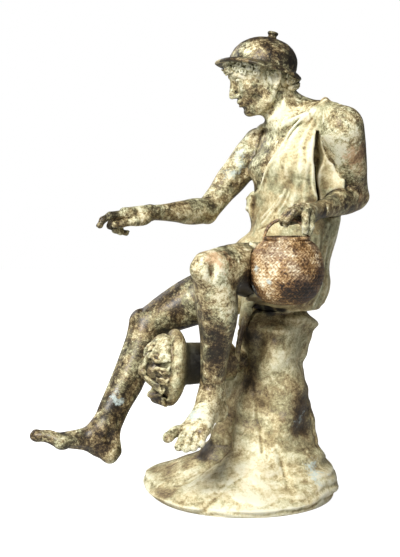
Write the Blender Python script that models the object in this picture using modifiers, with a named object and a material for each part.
import math

import bmesh
import bpy
from mathutils import Matrix, Vector

# Seated fisherman fountain bronze: figure, rock, basket and mask spout.
# Metres, +Z up, the side shown in the photograph looks along -Y.

mm = 0.001

# Whole height from the floor to the top of the hat's knob. The free forms are written in 565ths of it.
height = 565 * mm
unit = height / 565

# Play between pieces, walls of the basket and the hat's brim
gap = 0.3 * mm
basket_wall = 3.2 * mm
brim_t = 3.6 * mm

# Fusing: voxel size, and allowance for what smoothing and thinning take off
voxel = 1.9 * unit
swell = 0.9 * unit

# Seat plane on the rock
seat_z = 226 * unit
# Box that cuts the figure's seat: middle x and y, length, breadth, depth
seat_box = (66, 0, 114, 180, 80)

# Triangle budgets
figure_tris = 4900
mask_tris = 1080
# Share of the triangles kept at head, hands and feet, and elsewhere
fine_share = 0.9
coarse_share = 0.25
ring_count = 18

# Joints of the figure
hip_l = (64, -29, 262)
hip_r = (36, 29, 268)
knee_l = (-39, -146, 284)
knee_r = (-118, 21, 201)
ankle_l = (-36, -97, 136)
ankle_r = (-167, -46, 83)
shoulder_l = (117, -48, 445)
shoulder_r = (26, 49, 430)
elbow_l = (142, 8, 364)
elbow_r = (-43, 4, 346)
wrist_l = (83, -84, 347)
wrist_r = (-110, -56, 345)

# Facing of pelvis and chest in plan
pelvis_front = Vector((-0.883, -0.469, 0))
chest_front = Vector((-0.755, -0.656, 0))

# Head: centre, facing and lean
head_centre = Vector((22, -5, 512)) * unit
head_scale = 1.05
head_turn = math.radians(78)
head_nod = math.radians(20)

# Hat: dome, brim that reaches further to the front and droops there, knob
hat_base = Vector((25, -5, 523)) * unit
hat_axis = Vector((0.22, 0.015, 0.975)).normalized()
hat_sides = 28
hat_lean = 4 * unit
brim_forward = 4 * unit
brim_droop = 3.5 * unit
hair_under = -3 * unit
dome_r = 41.5 * unit
dome_h = 35 * unit
brim_r = 53.5 * unit
brim_rise = 4 * unit
knob_r = 6.6 * unit
knob_h = 7.5 * unit

# Basket
basket_centre = Vector((46, -121, 281)) * unit
basket_r = 42.5 * unit
basket_h = 78 * unit
basket_top = 36 * unit
basket_steps = 8
basket_sides = 24
mouth_r = 23 * unit
rim_r = 2.6 * unit
handle_r = 1.9 * unit
handle_top = 22 * unit

# Rock: level, centre x and y, reach to -x, +x, -y, +y
rock_rows = [
    (0, 2, -22, 112, 112, 112, 98),
    (9, 1, -22, 122, 117, 115, 102),
    (20, 6, -20, 124, 110, 101, 96),
    (31, 15, -17, 106, 99, 86, 88),
    (44, 24, -14, 78, 76, 69, 78),
    (60, 30, -10, 70, 60, 60, 70),
    (84, 32, -8, 62, 56, 56, 64),
    (110, 33, -6, 56, 56, 54, 60),
    (135, 33, -5, 49, 51, 53, 58),
    (160, 35, -4, 42, 43, 53, 56),
    (185, 39, -3, 42, 44, 54, 56),
    (205, 43, -2, 41, 47, 54, 56),
    (218, 46, -1, 38, 39, 52, 54),
    (226, 48, 0, 34, 35, 45, 46),
]
rock_sides = 28
# Clefts: plan angle, width, low and high height, depth
rock_clefts = [(214, 11, 20, 112, 13), (247, 12, 140, 208, 9), (328, 9, 150, 182, 5), (292, 10, 8, 40, 6),
               (75, 12, 60, 170, 6), (130, 11, 30, 140, 6)]

# Mask and its pipe
mask_centre = Vector((-83, -66, 162)) * unit
mask_turn = math.radians(-15)
mask_pitch = math.radians(-6)
mask_locks = 22
beard_locks = 7
pipe_r = 24
spigot_r = 15 * unit
pipe_start = (-78, -62, 165)
pipe_end = (-14, -26, 163)
socket_end = (12, -14, 163)


def vec(p):
    return Vector(p) * unit


def mix(a, b, t):
    return a + (b - a) * t


def new_object(name, bm, collection):
    mesh = bpy.data.meshes.new(name)
    bmesh.ops.recalc_face_normals(bm, faces=bm.faces)
    bm.to_mesh(mesh)
    bm.free()
    obj = bpy.data.objects.new(name, mesh)
    collection.objects.link(obj)
    return obj


def loft(bm, stations, front, count=ring_count, cap=0.6):
    """Closed loft through stations (x, y, z, side, front, back), in units."""
    pts = [vec(s[:3]) for s in stations]
    fronts = front if isinstance(front, list) else [front, front]
    rings = []
    last = len(stations) - 1
    frames = []
    for i, s in enumerate(stations):
        tangent = (pts[min(i + 1, last)] - pts[max(i - 1, 0)]).normalized()
        hint = mix(fronts[0], fronts[-1], i / last)
        fwd = (hint - tangent * hint.dot(tangent)).normalized()
        side = tangent.cross(fwd)
        frames.append((pts[i], tangent, fwd, side, [v * unit + swell for v in s[3:6]]))

    def ring(centre, fwd, side, radii, scale):
        row = []
        for k in range(count):
            a = math.tau * k / count
            c, sn = math.cos(a), math.sin(a)
            depth = radii[1] if c > 0 else radii[2]
            row.append(bm.verts.new(centre + (fwd * (c * depth) + side * (sn * radii[0])) * scale))
        return row

    p, t, f, s, r = frames[0]
    reach = cap * min(r)
    low = bm.verts.new(p - t * reach)
    for a in (65, 35):
        angle = math.radians(a)
        rings.append(ring(p - t * (reach * math.sin(angle)), f, s, r, math.cos(angle)))
    for p, t, f, s, r in frames:
        rings.append(ring(p, f, s, r, 1.0))
    reach = cap * min(r)
    for a in (35, 65):
        angle = math.radians(a)
        rings.append(ring(p + t * (reach * math.sin(angle)), f, s, r, math.cos(angle)))
    high = bm.verts.new(p + t * reach)
    for lower, upper in zip(rings, rings[1:]):
        for k in range(count):
            m = (k + 1) % count
            bm.faces.new((lower[k], lower[m], upper[m], upper[k]))
    for k in range(count):
        m = (k + 1) % count
        bm.faces.new((low, rings[0][m], rings[0][k]))
        bm.faces.new((high, rings[-1][k], rings[-1][m]))


def ball(bm, centre, radii, basis=None, segments=16):
    """Ellipsoid at centre, in metres, with its radii along the basis axes, in units."""
    turn = basis.to_4x4() if basis else Matrix.Identity(4)
    matrix = Matrix.Translation(centre) @ turn @ Matrix.Diagonal((*[r * unit for r in radii], 1))
    bmesh.ops.create_uvsphere(bm, u_segments=segments, v_segments=segments // 2 + 2,
                              radius=1.0, matrix=matrix)


def tube(bm, points, radii, count=10):
    """Round tapered tube through points, in units."""
    rows = [(*p, r, r, r) for p, r in zip(points, radii)]
    first, second = Vector(points[0]), Vector(points[1])
    along = (second - first).normalized()
    hint = Vector((0, 0, 1)) if abs(along.z) < 0.8 else Vector((1, 0, 0))
    loft(bm, rows, hint, count=count, cap=0.9)


def limb(start, end, table, front):
    """Stations along a limb: rows (share, side, front, back, shift to the front)."""
    a, b = Vector(start), Vector(end)
    rows = []
    for share, side, fore, back, shift in table:
        p = mix(a, b, share) + front * shift
        rows.append((p.x, p.y, p.z, side, fore, back))
    return rows


def head_basis():
    turn, nod = head_turn, head_nod
    flat = Vector((-math.sin(turn), -math.cos(turn), 0))
    fwd = flat * math.cos(nod) + Vector((0, 0, -math.sin(nod)))
    up = flat * math.sin(nod) + Vector((0, 0, math.cos(nod)))
    left = up.cross(fwd)
    return Matrix((fwd, left, up)).transposed()


def axis_basis(axis, hint=Vector((1, 0, 0))):
    z = axis.normalized()
    x = (hint - z * hint.dot(z)).normalized()
    return Matrix((x, z.cross(x), z)).transposed()


# Torso stations: centre x, y, z, half breadth, half depth front and back
torso = [
    (54, 1, 238, 52, 40, 38),
    (55, 0, 262, 57, 42, 40),
    (61, 0, 297, 54, 41, 39),
    (68, 0, 334, 56, 45, 43),
    (71, 0, 380, 62, 50, 46),
    (70, 0, 412, 60, 45, 43),
    (68, 0, 436, 52, 33, 38),
    (66, 0, 454, 34, 23, 30),
]


# Neckline from the left shoulder to below the right breast
neckline = [(100, -44, 470), (80, -43, 464), (63, -40, 451), (51, -43, 433), (37, -34, 413), (29, -28, 398),
            (20, -22, 380), (9, 0, 372)]
# Crevice at the tunic's left side
side_crevice = [(88, -50, 436, 2, 14, 8), (91, -50, 420, 5, 18, 14), (92, -50, 400, 5, 18, 18),
                (88, -50, 384, 3, 18, 20), (87, -50, 370, 2.4, 18, 16), (92, -50, 352, 1.4, 16, 8)]


def torso_at(z):
    """Torso section at height z: centre, breadth, depths, facing."""
    rows = torso
    if z <= rows[0][2]:
        low, high, t = rows[0], rows[0], 0
    else:
        index = max(i for i, row in enumerate(rows) if row[2] <= z)
        low = rows[index]
        high = rows[min(index + 1, len(rows) - 1)]
        t = 0 if high is low else (z - low[2]) / (high[2] - low[2])
    values = [mix(a, b, t) for a, b in zip(low, high)]
    share = min(1, max(0, (z - rows[0][2]) / (rows[-1][2] - rows[0][2])))
    front = mix(pelvis_front, chest_front, share).normalized()
    return values, front


def skin_point(z, degrees, out=0.0):
    """Point of the torso surface: degrees from the front, positive to the figure's left."""
    (x, y, _, side, fore, back), front = torso_at(z)
    left = Vector((0, 0, 1)).cross(front)
    a = math.radians(degrees)
    depth = fore if math.cos(a) > 0 else back
    p = Vector((x, y, z)) + front * (math.cos(a) * (depth + out)) + left * (math.sin(a) * (side + out))
    return (p.x, p.y, p.z)


def build_body(bm):
    up = Vector((0, 0, 1))
    loft(bm, torso, [pelvis_front, chest_front], count=28)
    # Breast muscles, belly and buttocks
    for degrees in (-33, 30):
        centre = vec(skin_point(398, degrees, -16))
        ball(bm, centre, (24, 27, 19), axis_basis(up, chest_front))
    ball(bm, vec(skin_point(318, 0, -26)), (30, 38, 34), axis_basis(up, pelvis_front))
    for x, y, z in ((70, -22, 258), (66, 26, 258)):
        ball(bm, vec((x, y, z)), (33, 30, 30))
    # Shoulders and the slope of the neck
    loft(bm, [(58, 16, 446, 20, 16, 20), (44, 34, 440, 17, 15, 18), (26, 49, 430, 19, 18, 19)], up)
    loft(bm, [(68, -6, 456, 20, 18, 20), (80, -18, 457, 19, 17, 20), (98, -34, 456, 18, 18, 20),
              (117, -48, 445, 22, 23, 23)], up)
    loft(bm, [(56, 4, 478, 15, 13, 14), (68, 0, 472, 17, 16.5, 17), (84, -12, 465, 17, 17, 18),
              (100, -30, 461, 18, 18, 19)], up)
    ball(bm, vec(shoulder_r), (20, 20, 21))
    ball(bm, vec(shoulder_l), (24, 24, 25))
    loft(bm, [(64, 0, 440, 27, 26, 29), (56, -1, 462, 23.5, 25, 28), (43, -3, 482, 22, 23, 27),
              (32, -4, 500, 21, 21, 26)], chest_front)

    # Arms
    arm = [(0.0, 18, 21, 20, 0), (0.22, 18, 22, 20, 0), (0.5, 16.5, 20, 18, 0), (0.75, 15, 16.5, 16, 0),
           (1.0, 15, 15, 15.5, 0)]
    fore = [(0.0, 15, 15, 15.5, 0), (0.2, 15.5, 15, 15.5, 0), (0.45, 14, 13.5, 13.5, 0),
            (0.75, 11.5, 10, 10.5, 0), (1.0, 10.5, 8.5, 8.5, 0)]
    loft(bm, limb(shoulder_r, elbow_r, arm, up), Vector((-0.7, -0.4, 0.6)))
    loft(bm, limb(elbow_r, wrist_r, fore, up), up)
    big = [(0.0, 23, 23.5, 22.5, 0), (0.22, 24, 24.5, 22.5, 0), (0.5, 22, 22.5, 20.5, 0),
           (0.75, 18.8, 18.8, 18, 0), (1.0, 16.8, 16.8, 17, 0)]
    loft(bm, limb(shoulder_l, elbow_l, big, up), Vector((0.3, -0.9, 0)))
    loft(bm, limb(elbow_l, wrist_l, [(t, a * 1.05, b * 1.1, c * 1.15, s) for t, a, b, c, s in fore], up), up)

    # Legs
    thigh = [(0.0, 34, 34, 34, 0), (0.3, 32, 34, 33, 2), (0.6, 28, 32, 30, 4), (0.82, 24, 27, 25, 3),
             (1.0, 22, 23, 22, 0)]
    shank_r = [(0.0, 21, 22, 22, 0), (0.16, 21, 19, 23, 0), (0.36, 21, 17, 26, 0), (0.55, 18.5, 16.5, 24, 0),
               (0.78, 14.5, 17, 19, 0), (1.0, 13, 17, 17, 0)]
    shank_l = [(0.0, 22, 22, 24, 0), (0.16, 25, 20, 27, -3), (0.36, 24, 17.5, 26, -5),
               (0.55, 19, 15.5, 21, -4), (0.78, 15, 14, 16, -1), (1.0, 14, 14, 16, 0)]
    loft(bm, limb(hip_r, knee_r, thigh, up), up, count=20)
    loft(bm, limb(hip_l, knee_l, thigh, up), up, count=20)
    loft(bm, limb(knee_r, ankle_r, shank_r, up), Vector((-0.8, -0.35, 0.4)), count=20)
    loft(bm, limb(knee_l, ankle_l, shank_l, Vector((-1, -0.3, 0))), Vector((-0.55, -0.8, 0.1)), count=20)
    ball(bm, vec(knee_r) + vec((-7, -3, 4)), (16, 15, 17))
    ball(bm, vec(knee_l) + vec((-8, -8, 2)), (16, 15, 17))


def build_foot(bm, heel, ball_point, toes, ankle, inner):
    """Foot from heel to toes; inner points to the big toe side."""
    heel, ball_point, ankle = Vector(heel), Vector(ball_point), Vector(ankle)
    along = (ball_point - heel).normalized()
    up = inner.cross(along)
    if up.z < 0:
        up = -up
    rows = []
    for share, side, fore, back, lift in ((0.0, 12, 16, 12, 3), (0.2, 13, 19, 13, 4), (0.45, 14, 19, 10, 5),
                                          (0.7, 18, 15, 8, 2), (1.0, 20, 10, 7, -1)):
        p = mix(heel, ball_point, share) + up * lift
        rows.append((p.x, p.y, p.z, side, fore, back))
    loft(bm, rows, up)
    bridge = mix(heel, ball_point, 0.42) + up * 12
    tube(bm, [tuple(ankle + up * 6), tuple(mix(ankle, bridge, 0.55) + up * 3), tuple(bridge)], [14, 14.5, 12.5])
    for sign in (-1, 1):
        ball(bm, (ankle + inner * (sign * 10)) * unit, (5, 5, 6))
    for index, (tip, radius) in enumerate(toes):
        root = ball_point + inner * (14 - 7.4 * index) - along * (3 + 1.5 * index)
        tip = Vector(tip)
        middle = mix(root, tip, 0.55) + up * 3
        tube(bm, [tuple(root), tuple(middle), tuple(tip)], [radius * 1.1, radius, radius * 0.95])


def build_hand(bm, wrist, palm, fingers):
    wrist, palm_end = Vector(wrist), [Vector(p) for p in palm]
    for knuckle, radius in zip(palm_end, (7.5, 7.8, 7.2, 6.5)):
        tube(bm, [tuple(wrist), tuple(mix(wrist, knuckle, 0.5)), tuple(knuckle)], [8.5, 7.6, radius * 0.84])
    for chain, radius in fingers:
        steps = len(chain)
        tube(bm, chain, [radius * (1 - 0.12 * k / (steps - 1)) for k in range(steps)])


def build_hands_and_feet(bm):
    build_foot(bm, (-161, -46, 54), (-220, -58, 72),
               [((-243, -65, 79), 8.4), ((-246, -56, 78), 5.4), ((-244, -49, 76), 5.0),
                ((-240, -42, 74), 4.8), ((-234, -36, 72), 4.5)],
               ankle_r, Vector((0.12, -0.985, 0.1)).normalized())
    build_foot(bm, (-27, -92, 115), (-59, -146, 102),
               [((-86, -154, 98), 6.2), ((-74, -164, 90), 5.2), ((-66, -168, 89), 5.0),
                ((-58, -167, 90), 4.8), ((-50, -163, 93), 4.5)],
               ankle_l, Vector((-0.83, 0.5, -0.1)).normalized())
    # Right hand: the forefinger points, the others curl
    build_hand(bm, wrist_r, [(-138, -82, 344), (-139, -75, 344), (-139, -67, 342), (-136, -60, 340)],
               [([(-138, -82, 344), (-154, -94, 342), (-162, -99, 337), (-165, -101, 331)], 5.2),
                ([(-139, -75, 344), (-152, -86, 339), (-155, -83, 330), (-149, -77, 326)], 5.2),
                ([(-139, -67, 342), (-150, -77, 333), (-150, -74, 325), (-144, -69, 322)], 5.0),
                ([(-136, -60, 340), (-145, -68, 330), (-144, -66, 323), (-138, -62, 321)], 4.8),
                ([(-116, -68, 339), (-128, -80, 335), (-140, -88, 333), (-149, -92, 332)], 5.6)])
    # Left hand: closed on the basket handle and rim
    build_hand(bm, wrist_l, [(58, -116, 349), (63, -120, 350), (69, -120, 349), (74, -116, 347)],
               [([(58, -116, 349), (48, -124, 347), (41, -124, 339), (42, -118, 334)], 5.4),
                ([(63, -120, 350), (54, -130, 347), (46, -131, 339), (45, -125, 333)], 5.4),
                ([(69, -120, 349), (66, -131, 343), (66, -133, 331), (66, -130, 324)], 5.2),
                ([(74, -116, 347), (74, -124, 339), (73, -127, 330), (72, -126, 324)], 4.8),
                ([(76, -96, 341), (62, -103, 338), (52, -109, 336), (47, -113, 336)], 5.6)])


def build_head(bm):
    basis = head_basis()

    def at(f, l, u):
        return head_centre + basis @ (vec((f, l, u)) * head_scale)

    def lump(f, l, u, rf, rl, ru):
        radii = [r * head_scale for r in (rf, rl, ru)]
        ball(bm, at(f, l, u), radii, basis)

    lump(-3, 0, 10, 37, 29, 33)
    lump(8, 0, -12, 26, 24, 26)
    lump(14, 0, -27, 17, 17, 13)
    lump(25, 0, -34, 8, 8, 7)
    for sign in (-1, 1):
        lump(17, sign * 14, -11, 13, 10, 12)
        lump(26, sign * 9, 7, 7, 10, 3.6)
        lump(24.5, sign * 10, 1, 5.5, 6, 3.6)
        lump(4, sign * 22, -22, 14, 6, 12)
        lump(-4, sign * 28.5, -2, 6, 3.5, 10)
    tube(bm, [tuple(at(31, 0, 5) / unit), tuple(at(35, 0, -5) / unit), tuple(at(38, 0, -12) / unit)],
         [3.2, 3.8, 4.6])
    lump(30.5, 0, -20.5, 5, 8, 2.6)
    lump(29.5, 0, -25, 5, 7, 2.8)
    # Hair: rows of curls on brow, temples and nape
    rows = ((13, 0.97, 180, 26), (5, 1.0, 118, 12), (-5, 0.98, 98, 11), (-15, 0.91, 80, 10))
    for row, (up_shift, reach, spread, count) in enumerate(rows):
        for k in range(count):
            share = (k + 0.5 * (row % 2)) / count
            a = math.pi + math.radians(spread) * (2 * share - 1)
            f = -3 + math.cos(a) * 36 * reach
            l = math.sin(a) * 30 * reach
            over = (at(f, l, up_shift) - hat_base).dot(hat_axis)
            if over < hair_under:
                lump(f, l, up_shift, 6.4, 6.4, 6.2)


def hat_shift(radius, up, ahead):
    """Shift to the back and up: the dome leans back, the brim reaches forward and droops there."""
    lean = hat_lean * max(0.0, up) / dome_h
    share = max(0.0, (radius - dome_r) / (brim_r - dome_r))
    return lean - brim_forward * share, -brim_droop * share * max(0.0, ahead) ** 2


def build_hat(collection):
    bm = bmesh.new()
    turn = axis_basis(hat_axis)
    steps = 6
    profile = [(0.0, dome_h)]
    for k in range(1, steps + 1):
        a = math.pi / 2 * (1 - k / steps)
        profile.append((dome_r * math.cos(a), dome_h * math.sin(a)))
    brim_low = -brim_rise - brim_t
    profile += [(mix(dome_r, brim_r, 0.35), -0.4 * brim_rise), (brim_r - brim_t / 2, -brim_rise),
                (brim_r, -brim_rise - brim_t / 2), (brim_r - brim_t / 2, brim_low),
                (dome_r * 0.8, -1.6 * brim_t), (0.0, -1.2 * brim_t)]
    spin(bm, profile, hat_base, turn, hat_sides)
    for v in bm.verts:
        x, y, z = turn.transposed() @ (v.co - hat_base)
        radius = math.hypot(x, y)
        back, rise = hat_shift(radius, z, -x / max(radius, unit))
        v.co += turn @ Vector((back, 0, rise))
    hat = new_object("hat", bm, collection)
    bm = bmesh.new()
    knob = [(0.0, knob_h), (knob_r, knob_h), (knob_r, knob_h * 0.6), (knob_r * 0.75, knob_h * 0.35),
            (knob_r * 0.85, -knob_h / 2), (0.0, -knob_h / 2)]
    spin(bm, knob, hat_base + turn @ Vector((hat_lean, 0, dome_h)), turn, hat_sides // 2)
    knob = new_object("knob", bm, collection)
    return hat, knob


def spin(bm, profile, centre, basis, count):
    """Turned solid from a profile of radius and height."""
    rows = []
    for radius, level in profile:
        if radius == 0:
            rows.append([bm.verts.new(centre + basis @ Vector((0, 0, level)))])
            continue
        ring = []
        for k in range(count):
            a = math.tau * k / count
            place = Vector((radius * math.cos(a), radius * math.sin(a), level))
            ring.append(bm.verts.new(centre + basis @ place))
        rows.append(ring)
    for upper, lower in zip(rows, rows[1:]):
        for k in range(count):
            m = (k + 1) % count
            if len(upper) == 1:
                bm.faces.new((upper[0], lower[k], lower[m]))
            elif len(lower) == 1:
                bm.faces.new((upper[m], upper[k], lower[0]))
            else:
                bm.faces.new((upper[m], upper[k], lower[k], lower[m]))


def build_tunic(bm):
    cloth = 4.0
    rows = [(x, y, z, a + cloth, b + cloth, c + cloth) for x, y, z, a, b, c in torso]
    part = bmesh.new()
    loft(part, rows, [pelvis_front, chest_front], count=32, cap=0.9)
    # The right shoulder stays bare: cut along the slant from the left shoulder
    knot, breast = Vector((96, -42, 476)), Vector((14, -30, 378))
    across = Vector((60, 52, 380)) - breast
    normal = (breast - knot).cross(across).normalized()
    if normal.z < 0:
        normal = -normal
    bmesh.ops.bisect_plane(part, geom=part.verts[:] + part.edges[:] + part.faces[:], plane_co=knot * unit,
                           plane_no=normal, clear_outer=True)
    holes = [e for e in part.edges if e.is_boundary]
    bmesh.ops.holes_fill(part, edges=holes, sides=0)
    mesh = bpy.data.meshes.new("cloth")
    part.to_mesh(mesh)
    part.free()
    bm.from_mesh(mesh)
    bpy.data.meshes.remove(mesh)
    # Shoulder knot
    ball(bm, vec((100, -42, 470)), (12, 9, 9))
    ball(bm, vec((90, -38, 474)), (8, 6, 6))
    # Long folds from the shoulder to the waist
    for k in range(7):
        share = k / 6
        start, stop = mix(50, 66, share), mix(-40, 92, share)
        points = []
        for step in range(6):
            t = step / 5
            z = mix(446 - 10 * (1 - share), 322 + 10 * math.sin(3 * share), t)
            points.append(skin_point(z, mix(start, stop, t ** 0.8), cloth + 0.3))
        radii = [2.2, 3.0, 3.4, 3.4, 3.0, 2.0]
        tube(bm, points, radii, count=8)
    # Rolled edge of the neckline
    tube(bm, neckline, [3.0, 3.0, 3.2, 3.2, 3.0, 3.0, 3.0, 3.0], count=8)
    # Gathered cloth at waist and hip
    ball(bm, vec(skin_point(358, -52, 0)), (13, 13, 19))
    ball(bm, vec(skin_point(342, -50, -2)), (11, 10, 13))
    loft(bm, [(66, 4, 350, 60, 46, 52), (62, 3, 326, 60, 43, 51), (57, 2, 294, 60, 44, 45),
              (52, 0, 264, 61, 47, 46), (52, 0, 240, 58, 44, 43)], [chest_front, pelvis_front], count=32)
    for k in range(10):
        degrees = 60 + k * 26
        points = [skin_point(z, degrees + 7 * math.sin(z * 0.02 + k), 6) for z in (334, 312, 290, 268, 246)]
        tube(bm, points, [2.4, 3.4, 3.6, 3.4, 2.6], count=8)
    # Cloth across the lap and over both thighs
    up = Vector((0, 0, 1))
    loft(bm, [(30, 22, 276, 37, 34, 34), (4, 22, 266, 36, 33, 33), (-12, 22, 258, 33, 31, 31)], up, count=24)
    loft(bm, [(58, -34, 276, 34, 36, 34), (44, -50, 278, 35, 34, 33), (30, -66, 279, 32, 32, 31)], up,
         count=24)
    loft(bm, [(34, -8, 308, 24, 22, 20), (11, -6, 300, 18, 17, 16), (-8, -4, 287, 14, 15, 14)], up, count=20)
    # Cloth end hanging between the thighs
    loft(bm, [(12, -22, 246, 13, 10, 10), (5, -27, 226, 9, 6, 6), (-1, -30, 208, 4, 3.4, 3.4)],
         Vector((-1, 0, 0)), count=12)


def gathered(bm, name, collection, triangles, weight=None, smooth=2, cutters=()):
    """Fuse the shapes in bm by voxel remesh, smooth and thin to the budget."""
    raw = new_object(name + "_raw", bm, collection)
    remesh = raw.modifiers.new("fuse", "REMESH")
    remesh.mode = "VOXEL"
    remesh.voxel_size = voxel
    soften = raw.modifiers.new("soften", "SMOOTH")
    soften.factor = 0.5
    soften.iterations = smooth
    fused = settle(raw)
    keep_largest(fused)
    for cutter in cutters:
        subtract(fused, cutter)
    mesh = fused.data
    if weight:
        group = fused.vertex_groups.new(name="keep")
        for v in mesh.vertices:
            group.add([v.index], weight(v.co), "REPLACE")
    mesh.calc_loop_triangles()
    thin = fused.modifiers.new("thin", "DECIMATE")
    thin.ratio = min(1.0, triangles / len(mesh.loop_triangles))
    if weight:
        thin.vertex_group = "keep"
        thin.vertex_group_factor = 1.6
        thin.invert_vertex_group = True
    result = settle(fused)
    result.vertex_groups.clear()
    result.name = name
    return result


def settle(obj):
    """Apply the modifiers of obj into a new mesh."""
    bpy.context.view_layer.update()
    graph = bpy.context.evaluated_depsgraph_get()
    mesh = bpy.data.meshes.new_from_object(obj.evaluated_get(graph))
    old = obj.data
    obj.modifiers.clear()
    obj.data = mesh
    bpy.data.meshes.remove(old)
    return obj


def keep_largest(obj):
    """Keep the outer shell and drop loose bits and closed voids."""
    bm = bmesh.new()
    bm.from_mesh(obj.data)
    bm.verts.ensure_lookup_table()
    seen = set()
    groups = []
    for vert in bm.verts:
        if vert.index in seen:
            continue
        stack, group = [vert], []
        seen.add(vert.index)
        while stack:
            v = stack.pop()
            group.append(v)
            for e in v.link_edges:
                w = e.other_vert(v)
                if w.index not in seen:
                    seen.add(w.index)
                    stack.append(w)
        groups.append(group)
    groups.sort(key=len)
    for group in groups[:-1]:
        bmesh.ops.delete(bm, geom=group, context="VERTS")
    bm.to_mesh(obj.data)
    bm.free()


def rod(name, start, stop, radius, basis, collection):
    """Plain round rod between two points."""
    bm = bmesh.new()
    spin(bm, [(0.0, (stop - start).length), (radius, (stop - start).length), (radius, 0.0), (0.0, 0.0)],
         start, basis, 24)
    return new_object(name, bm, collection)


def unite(obj, other):
    join = obj.modifiers.new("join", "BOOLEAN")
    join.operation = "UNION"
    join.solver = "EXACT"
    join.object = other
    settle(obj)


def subtract(obj, cutter):
    cut = obj.modifiers.new("cut", "BOOLEAN")
    cut.operation = "DIFFERENCE"
    cut.solver = "EXACT"
    cut.object = cutter
    settle(obj)


def rock_relief(z, angle):
    """Ripples, ledges and clefts added to the rock's radius at height z and plan angle."""
    ripple = 3.0 * math.sin(3 * angle + 0.04 * z) + 2.2 * math.sin(5 * angle - 0.06 * z + 1)
    ledge = 2.6 * math.sin(0.16 * z + 1.5 * math.sin(2 * angle)) + 1.4 * math.sin(0.31 * z + 3 * angle)
    relief = (ripple + ledge) * min(1, z / 20)
    for turn, width, low, high, deep in rock_clefts:
        across = (math.degrees(angle) - turn + 180) % 360 - 180
        middle, reach = (low + high) / 2, (high - low) / 2
        relief -= deep * math.exp(-(across / width) ** 2 - ((z - middle) / reach) ** 4)
    return relief


def build_rock(bm):
    top = rock_rows[-1][0]
    rings = []
    heights = sorted(set([row[0] for row in rock_rows] + [15, 37, 72, 97, 122, 147, 172, 195, 212]))
    for z in heights:
        index = max(i for i, row in enumerate(rock_rows) if row[0] <= z)
        low = rock_rows[index]
        high = rock_rows[min(index + 1, len(rock_rows) - 1)]
        share = 0 if high is low else (z - low[0]) / (high[0] - low[0])
        _, x, y, left, right, near, far = [mix(a, b, share) for a, b in zip(low, high)]
        ring = []
        for k in range(rock_sides):
            a = math.tau * k / rock_sides
            c, s = math.cos(a), math.sin(a)
            rx = right if c > 0 else left
            ry = far if s > 0 else near
            r = 1 / math.hypot(c / rx, s / ry)
            if 0 < z < top:
                r += rock_relief(z, a)
            ring.append(bm.verts.new(vec((x + r * c, y + r * s, z))))
        rings.append(ring)
    for lower, upper in zip(rings, rings[1:]):
        for k in range(rock_sides):
            m = (k + 1) % rock_sides
            bm.faces.new((lower[k], lower[m], upper[m], upper[k]))
    bm.faces.new(list(reversed(rings[0])))
    bm.faces.new(rings[-1])


def basket_outline(extra):
    """Outer profile of the basket, radius and height, grown by extra."""
    half = basket_h / 2
    rows = []
    for k in range(basket_steps + 1):
        z = -half + (half + basket_top) * k / basket_steps
        round_part = math.sqrt(max(0.0, 1 - (z / half) ** 2))
        rows.append((basket_r * round_part ** 0.8, z))
    rows[-1] = (mouth_r + basket_wall, basket_top)
    grown = [(r + extra, z) for r, z in rows[1:]]
    return [(0.0, -half - extra), (grown[0][0] * 0.5, -half - extra)] + grown


def basket_trim(collection, extra):
    """Rolled rim and arched handle, grown by extra."""
    bm = bmesh.new()
    lip = mouth_r + basket_wall / 2
    ring(bm, basket_centre + Vector((0, 0, basket_top)), lip, rim_r + extra, basket_sides, 6)
    rim = new_object("rim", bm, collection)
    points = []
    for k in range(9):
        a = math.pi * k / 8
        reach = Vector((-math.cos(a) * lip, 0, basket_top + math.sin(a) * handle_top))
        points.append(tuple((basket_centre + reach) / unit))
    bm = bmesh.new()
    tube(bm, points, [(handle_r - swell + extra) / unit] * len(points), count=6)
    handle = new_object("handle", bm, collection)
    return rim, handle


def build_basket(name, collection):
    """Hollow round basket: turned wall with open mouth, rolled rim, arched handle."""
    outer = basket_outline(0.0)
    floor = -basket_h / 2 + basket_wall
    inner = [(mouth_r, basket_top)]
    for r, z in reversed(outer[2:-1]):
        if z * 0.95 > floor + 2 * unit:
            inner.append((r - basket_wall, z * 0.95))
    inner += [(inner[-1][0] * 0.7, floor), (0.0, floor)]
    bm = bmesh.new()
    spin(bm, outer + inner, basket_centre, Matrix.Identity(3), basket_sides)
    body = new_object(name, bm, collection)
    for piece in basket_trim(collection, 0.0):
        unite(body, piece)
        bpy.data.objects.remove(piece)
    return body


def basket_room(collection):
    """Cutters that leave room for the basket, its rim and handle."""
    outline = basket_outline(gap)
    bm = bmesh.new()
    spin(bm, outline + [(0.0, basket_top + gap)], basket_centre, Matrix.Identity(3), 36)
    return [new_object("basket_cutter", bm, collection), *basket_trim(collection, gap)]


def ring(bm, centre, radius, thick, count, sides):
    rows = []
    for k in range(count):
        a = math.tau * k / count
        out = Vector((math.cos(a), math.sin(a), 0))
        row = []
        for j in range(sides):
            b = math.tau * j / sides
            lift = Vector((0, 0, thick * math.sin(b)))
            row.append(bm.verts.new(centre + out * (radius + thick * math.cos(b)) + lift))
        rows.append(row)
    for k in range(count):
        m = (k + 1) % count
        for j in range(sides):
            n = (j + 1) % sides
            bm.faces.new((rows[k][j], rows[m][j], rows[m][n], rows[k][n]))


def mask_basis():
    """Axes of the mask: out of the face, to its left, up."""
    flat = Vector((-math.cos(mask_turn), math.sin(mask_turn), 0))
    out = flat * math.cos(mask_pitch) - Vector((0, 0, math.sin(mask_pitch)))
    up = flat * math.sin(mask_pitch) + Vector((0, 0, math.cos(mask_pitch)))
    return Matrix((out, up.cross(out), up)).transposed()


def mask_place(f, l, u):
    return mask_centre + mask_basis() @ vec((f, l, u))


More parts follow.
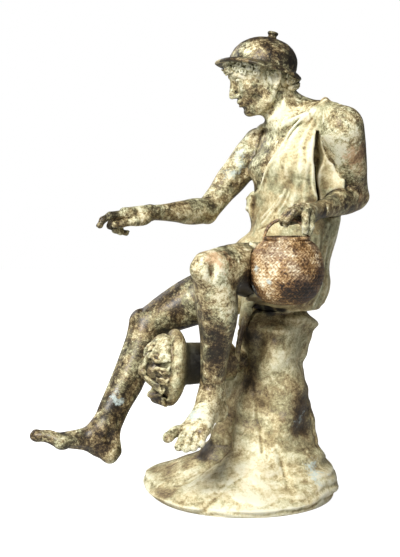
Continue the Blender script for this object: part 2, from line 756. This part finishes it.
def build_mask(bm):
    """Bearded stage mask: smooth bowl and cap, locks, brow, nose, cheeks and beard, with its pipe."""
    turn = mask_basis()

    def lump(f, l, u, rf, rl, ru):
        ball(bm, mask_place(f, l, u), (rf, rl, ru), turn)

    def rope(points, radii):
        tube(bm, [tuple(mask_place(*p) / unit) for p in points], radii, count=8)

    # Smooth bowl at the back, cap over the brow, face
    lump(0, 0, 0, 17, 31, 44.5)
    lump(10, 0, 16, 22, 27, 25)
    lump(10, 0, -6, 21, 25, 33)
    # Brow, nose, cheeks and lips
    for sign in (-1, 1):
        rope([(25, sign * 18, 8), (31, sign * 11, 14), (32, sign * 3, 10)], [3.0, 4.0, 3.4])
        lump(26, sign * 12, -4, 8, 7, 8)
        rope([(35, sign * 2, -11), (32, sign * 9, -14), (26, sign * 15, -20)], [3.6, 4.0, 3.0])
    rope([(30, 0, 11), (36, 0, 1), (38, 0, -6)], [3.6, 4.2, 5.2])
    # Locks that run forward from the bowl round the face
    for k in range(mask_locks):
        a = math.tau * (k + 0.5) / mask_locks
        s, c = math.sin(a), math.cos(a)
        if c > -0.6:
            sway = 0.12 if k % 2 else -0.12
            rope([(8, 28 * s, 36 * c), (17, 28 * math.sin(a + sway), 35 * math.cos(a + sway)),
                  (25, 25 * math.sin(a - sway), 31 * math.cos(a - sway))], [3.6, 4.6, 2.6])
    # Beard under the open mouth
    lump(10, 0, -33, 18, 20, 11)
    for k in range(beard_locks):
        share = k / (beard_locks - 1) - 0.5
        drop = abs(share)
        rope([(27 - 12 * drop, share * 32, -34), (21 - 10 * drop, share * 30, -41 + 6 * drop),
              (12 - 8 * drop, share * 25, -43 + 10 * drop)], [3.8, 4.2, 3.0])
    tube(bm, [pipe_start, pipe_end], [pipe_r + 1, pipe_r], count=20)


def material(name, colour, roughness, metallic):
    mat = bpy.data.materials.new(name)
    mat.use_nodes = True
    shader = mat.node_tree.nodes["Principled BSDF"]
    shader.inputs["Base Color"].default_value = (*colour, 1)
    shader.inputs["Roughness"].default_value = roughness
    shader.inputs["Metallic"].default_value = metallic
    return mat


def finish_object(obj, name, mat):
    obj.name = name
    obj.data.name = name
    obj.data.materials.clear()
    obj.data.materials.append(mat)
    for polygon in obj.data.polygons:
        polygon.use_smooth = True
        polygon.material_index = 0


def main():
    for obj in list(bpy.data.objects):
        bpy.data.objects.remove(obj, do_unlink=True)
    parts = bpy.data.collections.new("seated_fisherman")
    cutters = bpy.data.collections.new("cutters")
    for collection in (parts, cutters):
        bpy.context.scene.collection.children.link(collection)

    basket = build_basket("basket", parts)

    bm = bmesh.new()
    build_body(bm)
    build_hands_and_feet(bm)
    build_head(bm)
    build_tunic(bm)

    fine_places = [(head_centre, 52), (vec(wrist_r), 70), (vec(wrist_l), 60), (vec((-60, -145, 104)), 45),
                   (vec((-225, -60, 74)), 45)]

    def detail(co):
        near = min((co - place).length / (reach * unit) for place, reach in fine_places)
        return fine_share if near < 1 else coarse_share

    # Deep crevice between the tunic's open side and the left arm
    side = bmesh.new()
    loft(side, side_crevice, Vector((0, -1, 0)), count=12)
    crevice = new_object("crevice_cutter", side, cutters)
    figure = gathered(bm, "fisherman", parts, figure_tris, detail, cutters=[crevice])

    for piece in build_hat(parts):
        unite(figure, piece)
        bpy.data.objects.remove(piece)

    # Flat of the seat under the figure, only over the rock's top
    bm = bmesh.new()
    box_x, box_y, box_long, box_wide, box_deep = seat_box
    place = Matrix.Translation(vec((box_x, box_y, -box_deep / 2)) + Vector((0, 0, seat_z + gap)))
    size = Matrix.Diagonal((*vec((box_long, box_wide, box_deep)), 1))
    bmesh.ops.create_cube(bm, size=1.0, matrix=place @ size)
    seat = new_object("seat_cutter", bm, cutters)
    subtract(figure, seat)

    # Room for the basket
    for room in basket_room(cutters):
        subtract(figure, room)

    bm = bmesh.new()
    build_rock(bm)
    rock = new_object("rock", bm, parts)

    bm = bmesh.new()
    build_mask(bm)
    mouth = bmesh.new()
    ball(mouth, mask_place(31, 0, -25), (19, 17, 6), mask_basis(), segments=14)
    mouth = new_object("mouth_cutter", mouth, cutters)
    mask = gathered(bm, "mask_spout", parts, mask_tris, smooth=1, cutters=[mouth])

    # The pipe ends in a turned spigot let into a socket of the rock
    stop, end = vec(pipe_end), vec(socket_end)
    along = (end - stop).normalized()
    square = axis_basis(along, Vector((0, 0, 1)))
    cut_pipe = rod("pipe_cutter", stop, stop + along * 60 * unit, 40 * unit, square, cutters)
    subtract(mask, cut_pipe)
    spigot = rod("spigot", stop - along * 3 * unit, end, spigot_r, square, cutters)
    unite(mask, spigot)
    socket = rod("socket_cutter", stop - along * 12 * unit, end + along * gap, spigot_r + gap, square,
                 cutters)
    subtract(rock, socket)

    finish_object(figure, "fisherman", material("dark_bronze", (0.16, 0.12, 0.08), 0.5, 0.6))
    finish_object(rock, "rock", material("rock_bronze", (0.42, 0.38, 0.28), 0.7, 0.3))
    finish_object(basket, "basket", material("basket_bronze", (0.33, 0.19, 0.11), 0.6, 0.4))
    finish_object(mask, "mask_spout", material("mask_bronze", (0.27, 0.24, 0.18), 0.6, 0.4))
    for obj in cutters.objects:
        obj.hide_render = True
        obj.display_type = "WIRE"


main()
